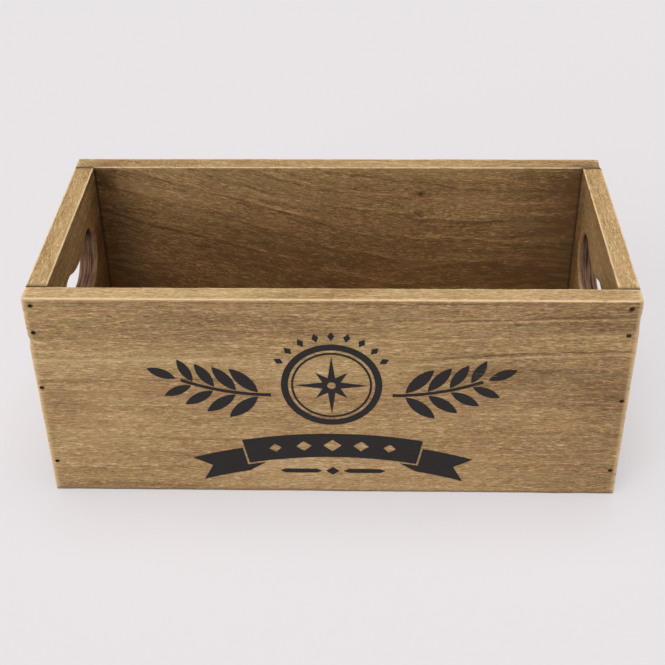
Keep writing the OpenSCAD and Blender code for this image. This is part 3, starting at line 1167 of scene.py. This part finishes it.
@dataclass
class Studio:
    """Pale floor, soft light and the camera that matches the photograph's view."""

    focal_px: float = 1222.0
    sensor_mm: float = 36.0
    clip_m: tuple[float, float] = (0.01, 50)
    place: tuple[float, float, float] = (20.73, -633.8, 512.0)
    pitch_degrees: float = 35.45
    yaw_degrees: float = -2.046
    roll_degrees: float = 0.8806
    floor_half: float = 4000.0
    floor_colour: str = "#e7e3e5"
    floor_glow: float = 0.5
    sky_strength: float = 0.2
    top_strength: float = 2.15
    top_spread_degrees: float = 48.0
    top_from: tuple[float, float, float] = (-0.02, 0.0, 1.0)
    key_strength: float = 1.05
    key_spread_degrees: float = 40.0
    key_from: tuple[float, float, float] = (-0.22, -0.27, 0.18)

    def build(self) -> None:
        """Makes the floor, the light and the camera."""
        self.build_floor()
        self.build_light()
        self.build_camera()

    def build_floor(self) -> None:
        """Makes a wide sheet of pale paper under the crate, half of whose look is its own plain colour."""
        h = self.floor_half
        points = np.array([[-h, -h, 0], [h, -h, 0], [h, h, 0], [-h, h, 0]])
        floor = mesh_object("floor", points, [[0, 1, 2, 3]])
        paper = Shading("matt_backdrop_paper")
        add, colour = paper.add, linear(self.floor_colour)
        look = {"Base Color": colour, "Roughness": 0.9, "Specular IOR Level": 0.1}
        matt = add("BsdfPrincipled", named=look)
        glow = add("Emission", colour, 1.0)
        path = add("LightPath").node.outputs
        seen = add("Math.MAXIMUM", path["Is Camera Ray"], path["Is Glossy Ray"])
        seen = add("Math.MAXIMUM", seen, path["Is Transmission Ray"])
        share = add("Math.MULTIPLY", seen, self.floor_glow)
        floor.data.materials.append(paper.show(add("MixShader", share, matt, glow)))

    def build_light(self) -> None:
        """Makes an even white sky, a soft lamp overhead and one from the front left, with no film look."""
        scene = bpy.context.scene
        scene.view_settings.view_transform = "Standard"
        world = bpy.data.worlds.new("studio")
        world.use_nodes = True
        background = world.node_tree.nodes["Background"]
        background.inputs["Color"].default_value = (1.0, 1.0, 1.0, 1.0)
        background.inputs["Strength"].default_value = self.sky_strength
        scene.world = world
        self.build_lamp("soft_top", self.top_strength, self.top_spread_degrees, self.top_from)
        self.build_lamp("soft_key", self.key_strength, self.key_spread_degrees, self.key_from)

    def build_lamp(
        self, name: str, strength: float, spread_degrees: float, light_from: tuple[float, float, float]
    ) -> None:
        """Makes one wide soft lamp at a great distance.

        Args:
            name: Name of the lamp.
            strength: Light on a surface square to it.
            spread_degrees: Angle that the lamp fills in the sky.
            light_from: Direction of the lamp, seen from the crate.
        """
        lamp = bpy.data.lights.new(name, "SUN")
        lamp.energy = strength
        lamp.angle = math.radians(spread_degrees)
        sun = bpy.data.objects.new(name, lamp)
        sun.rotation_mode = "QUATERNION"
        sun.rotation_quaternion = Vector(light_from).to_track_quat("Z", "Y")
        bpy.context.scene.collection.objects.link(sun)

    def build_camera(self) -> None:
        """Places the camera from its pitch, yaw and roll, and turns its focal length in pixels to a lens."""
        pitch, yaw, roll = (
            math.radians(a) for a in (self.pitch_degrees, self.yaw_degrees, self.roll_degrees)
        )
        level = Vector((math.cos(yaw), -math.sin(yaw), 0))
        ahead = Vector((math.sin(yaw), math.cos(yaw), 0)) * math.cos(pitch)
        ahead += Vector((0, 0, -1)) * math.sin(pitch)
        down = ahead.cross(level)
        right = level * math.cos(roll) + down * math.sin(roll)
        below = down * math.cos(roll) - level * math.sin(roll)
        lens = bpy.data.cameras.new("camera")
        lens.sensor_width = self.sensor_mm
        lens.lens = self.focal_px / PHOTO_WIDTH_PX * self.sensor_mm
        lens.clip_start, lens.clip_end = self.clip_m
        camera = bpy.data.objects.new("camera", lens)
        turn = Matrix((right, -below, -ahead)).transposed().to_4x4()
        camera.matrix_world = Matrix.Translation(Vector(self.place) * MM) @ turn
        bpy.context.scene.collection.objects.link(camera)
        bpy.context.scene.camera = camera


@dataclass
class Crate:
    """The whole crate: five boards, their nails and the printed emblem.

    The patches lie on the front board's outer face, at front_y, and on the back board's inner face, at back_y.
    """

    ink: BlackInk = BlackInk()
    steel: DarkSteel = DarkSteel()
    front_y: float = -82.5
    back_y: float = 70.5

    def nail_rows(self) -> dict[str, NailRow]:
        """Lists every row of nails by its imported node.

        Returns:
            The rows.
        """
        ahead, back, up = (0.0, 1.0, 0.0), (0.0, -1.0, 0.0), (0.0, 0.0, 1.0)
        rows = {}
        for end in ("left", "right"):
            rows[f"front_{end}"] = NailRow(f"front_{end}_nails", ahead)
            rows[f"back_{end}"] = NailRow(f"back_{end}_nails", back)
            rows[f"bottom_{end}"] = NailRow(f"bottom_{end}_nails", up)
        return rows

    def boards(self) -> list[Board]:
        """Describes the five boards.

        Returns:
            The boards, not yet built.
        """
        rows = self.nail_rows()
        front_y, back_y = self.front_y, self.back_y
        front = Board(
            "front_board_worn",
            "front_board",
            "side_wood",
            StainedWood(
                "stained_softwood_front",
                shift=(310, 14, 52),
                slope_degrees=0.5,
                bend=2.2,
                year_strength=0.08,
                rubbed_from=0.2,
                streaks=(
                    Streak((60, 125.2), (168, 128.7), 0.30, 0.55),
                    Streak((60, 126.9), (168, 130.4), -0.26, 0.7),
                    Streak((40, 112.8), (168, 118.0), 0.26, 0.55),
                    Streak((52, 97.5), (167, 104.9), 0.34, 0.7, 1.0),
                    Streak((40, 99.6), (167, 107.3), -0.30, 0.8, 1.0),
                    Streak((-168, 104.6), (-75, 105.8), 0.16, 0.8),
                    Streak((-168, 98.6), (-60, 101.0), 0.20, 0.7),
                    Streak((-168, 87.0), (-40, 88.4), 0.16, 0.9),
                    Streak((-168, 84.6), (-40, 86.0), -0.14, 0.9),
                    Streak((-169, 138.6), (169, 138.6), -0.30, 0.45),
                    Streak((-156, 84.7), (-150.3, 92.0), 0.20, 0.4),
                    Streak((-169, 112.6), (-161, 110.2), 0.5, 0.9),
                    Streak((159, 139.2), (169, 138.2), -0.7, 0.35),
                    Streak((161, 137.6), (167, 139.4), -0.6, 0.3),
                    Streak((-150, 66.0), (-60, 67.5), 0.14, 0.5),
                    Streak((-140, 58.5), (-40, 59.5), 0.12, 0.5),
                    Streak((60, 44.0), (160, 45.5), 0.16, 0.5),
                    Streak((20, 30.5), (150, 32.0), 0.14, 0.5),
                    Streak((-160, 20.0), (-20, 21.0), 0.12, 0.5),
                ),
            ),
            [rows["front_left"], rows["front_right"]],
            chips=[
                Chip((-170, front_y, 112), (2.6, 3.0, 3.2), 0.9),
                Chip((170, front_y, 128), (1.8, 3.0, 7.0), 0.5),
                Chip((170, front_y, 141), (2.4, 2.4, 2.4), 0.55),
            ],
            marks=patches(front_y, 8, [
                (-152, 64, 14, 9, -0.16),
                (-60, 74, 130, 15, -0.02, 0.12),
                (0, 25, 220, 30, 0.0, 0.05),
                (-60, 100, 140, 12, 0.0, -0.10),
                # Painted shade: the right half of the face darker, as the light comes from the left
                (130, 80, 70, 90, -0.09),
                (140, 30, 60, 30, -0.15),
                (150, 74, 22, 8, -0.10),
                (-120, 97, 70, 9, 0.16),
                (150, 129, 38, 9, -0.27),
                (142, 114, 30, 6, 0.14),
                (160, 78, 20, 18, -0.17),
                (130, 50, 36, 9, 0.14),
                (-142, 115, 44, 7, -0.10),
                (-158, 75, 14, 8, -0.10),
                (-120, 12, 60, 18, -0.15),
                (-110, 126, 120, 13, -0.14),
                # Painted light: a paler band along the bottom of the face, as the floor throws light up onto
                # it
                (0, 6, 200, 30, 0.10),
                (104, 90, 40, 4, -0.10),
                (-60, 132, 110, 7, -0.06),
            ]) + [Mark((-29, front_y, 86.5), (3.0, 3, 2.2), 0.22)],
            bruises=[Spot((163.4, 135.0), (1.3, 1.15)), Spot((164.3, 136.1), (1.1, 0.95))],
            end_wear_width=1.9,
            joint_side=1,
            seed=3,
        )
        back = Board(
            "back_board_worn",
            "back_board",
            "side_wood",
            StainedWood(
                "stained_softwood_back",
                shift=(40, -9, 17),
                bend=6.0,
                year_strength=0.12,
                year_spacing=9.0,
                tone=-0.02,
                lean=0.26,
                lean_until_x=10.0,
                knots=((54.8, 121.8, 1.7), (54.0, 106.7, 1.9)),
                streaks=(
                    Streak((-151, 107), (-31, 68), -0.26, 0.8),
                    Streak((-151, 109.4), (-31, 70.4), 0.16, 0.7),
                    Streak((-126, 135), (-8, 97), -0.24, 0.8, 2.0),
                    Streak((-126, 137.2), (-8, 99.2), 0.14, 0.7, 2.0),
                    Streak((-60, 137), (40, 112), -0.14, 0.6, 2.0),
                    Streak((101, 135), (147, 121), 0.2, 0.5, 2.0),
                    Streak((60, 97), (150, 92), -0.16, 0.6, 1.5),
                    Streak((-20, 84), (110, 77), -0.14, 0.7, 1.5),
                ),
            ),
            [rows["back_left"], rows["back_right"]],
            chips=[Chip((170, 76, 141), (5.0, 5.0, 3.5), 1.2)],
            marks=patches(back_y, 6, [
                (11.7, 107, 3.0, 7.0, 0.16),
                (0, 137, 190, 7, 0.02),
                # Painted shade: the next two patches darken the inner face towards the bottom, where the front
                # board shades it
                (0, 40, 260, 48, -0.5),
                (0, 90, 260, 22, -0.10),
                # Painted shade: the next two patches darken the right corner, where the right end board shades
                # the face
                (155, 123, 4.2, 17, -0.25),
                (158, 95, 42, 90, -0.46),
                (60, 120, 60, 30, -0.05),
                # Painted shade: the next three patches darken the left corner, where the left end board shades
                # the face
                (-150, 90, 16, 60, -0.16),
                (-152, 134, 7, 9, -0.45),
                (-152, 75, 26, 60, -0.14),
            ]),
            joint_side=-1,
            arris=0.7,
            wear_width=1.0,
            rim_lift=0.0,
            seed=5,
        )
        left = EndBoard(
            "left_end_board_worn",
            "left_end_board",
            "end_wood",
            StainedWood(
                "stained_softwood_left_end",
                Grain.ALONG_Y,
                shift=(75, 33, -20),
                bend=3.0,
                tone=-0.06,
                worn="#f5d3a6",
                rubbed_from=0.18,
                gloss=0.15,
            ),
            [rows["front_left"], rows["back_left"], rows["bottom_left"]],
            marks=[
                # Painted shade low on the inner face and in its back corner, and painted light under the rim
                Mark((-158, 0, 40), (5, 300, 75), -0.55, -0.05),
                Mark((-158, -15, 130), (5, 70, 26), 0.32, -0.05),
                Mark((-158, 62, 100), (5, 14, 60), -0.22),
                Mark((-166, -42, 141), (9, 16, 5), -0.10),
                Mark((-162, 12, 141), (9, 13, 5), -0.07),
                Mark((-164, 55, 141), (9, 20, 5), -0.04, -0.06),
            ],
            hole=HandHole(drop=25.0, shift=2.5),
            arris=0.6,
            wear_width=0.95,
            seed=7,
        )
        right = EndBoard(
            "right_end_board_worn",
            "right_end_board",
            "end_wood",
            StainedWood(
                "stained_softwood_right_end",
                Grain.ALONG_Y,
                shift=(-60, 12, 44),
                bend=3.0,
                tone=0.0,
                worn="#f5d3a6",
                rubbed_from=0.22,
                gloss=0.2,
            ),
            [rows["front_right"], rows["back_right"], rows["bottom_right"]],
            marks=[
                # Painted shade low on the inner face and in its back corner
                Mark((158, 0, 30), (5, 300, 60), -0.10, 0.06),
                Mark((158, 64, 80), (5, 15, 80), -0.34),
                Mark((158, -5, 118), (5, 30, 14), 0.08),
                Mark((166, -30, 141), (7, 26, 5), 0.06, 0.08),
                Mark((161, 30, 141), (7, 18, 5), -0.05, 0.06),
            ],
            hole=HandHole(drop=29.0, shift=5.0),
            arris=0.65,
            wear_width=1.0,
            seed=9,
        )
        bottom = Board(
            "bottom_board_worn",
            "bottom_board",
            "bottom_wood",
            StainedWood("stained_softwood_bottom", shift=(11, 60, 5), bend=4.0, tone=-0.06),
            [rows["bottom_left"], rows["bottom_right"]],
            seed=11,
            step_along=3.5,
            step_across=2.6,
            bottom_arris_shade=0.0,
        )
        return [front, back, left, right, bottom]

    def dress_node(self, node: str, material: bpy.types.Material, slot: str) -> None:
        """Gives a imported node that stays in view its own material.

        Args:
            node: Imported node.
            material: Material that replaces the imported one.
            slot: Record slot that the finish belongs to.
        """
        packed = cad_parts[node]
        packed.data.materials.clear()
        packed.data.materials.append(material)
        LOG.info("%s keeps its packed shape, slot %s", node, slot)

    def build(self) -> None:
        """Builds and dresses every piece of the crate."""
        for board in self.boards():
            made = board.build()
            LOG.info("%s has %d faces", made.name, len(made.data.polygons))
        steel = self.steel.material()
        for row in self.nail_rows().values():
            self.dress_node(row.node, steel, "nail_steel")
        self.dress_node("front_emblem", self.ink.material(), "black_ink")


def main() -> None:
    """Builds the crate and its studio, in order."""
    logging.basicConfig(level=logging.INFO, format="%(name)s: %(message)s")
    Crate().build()
    Studio().build()


if __name__ == "__main__":
    main()
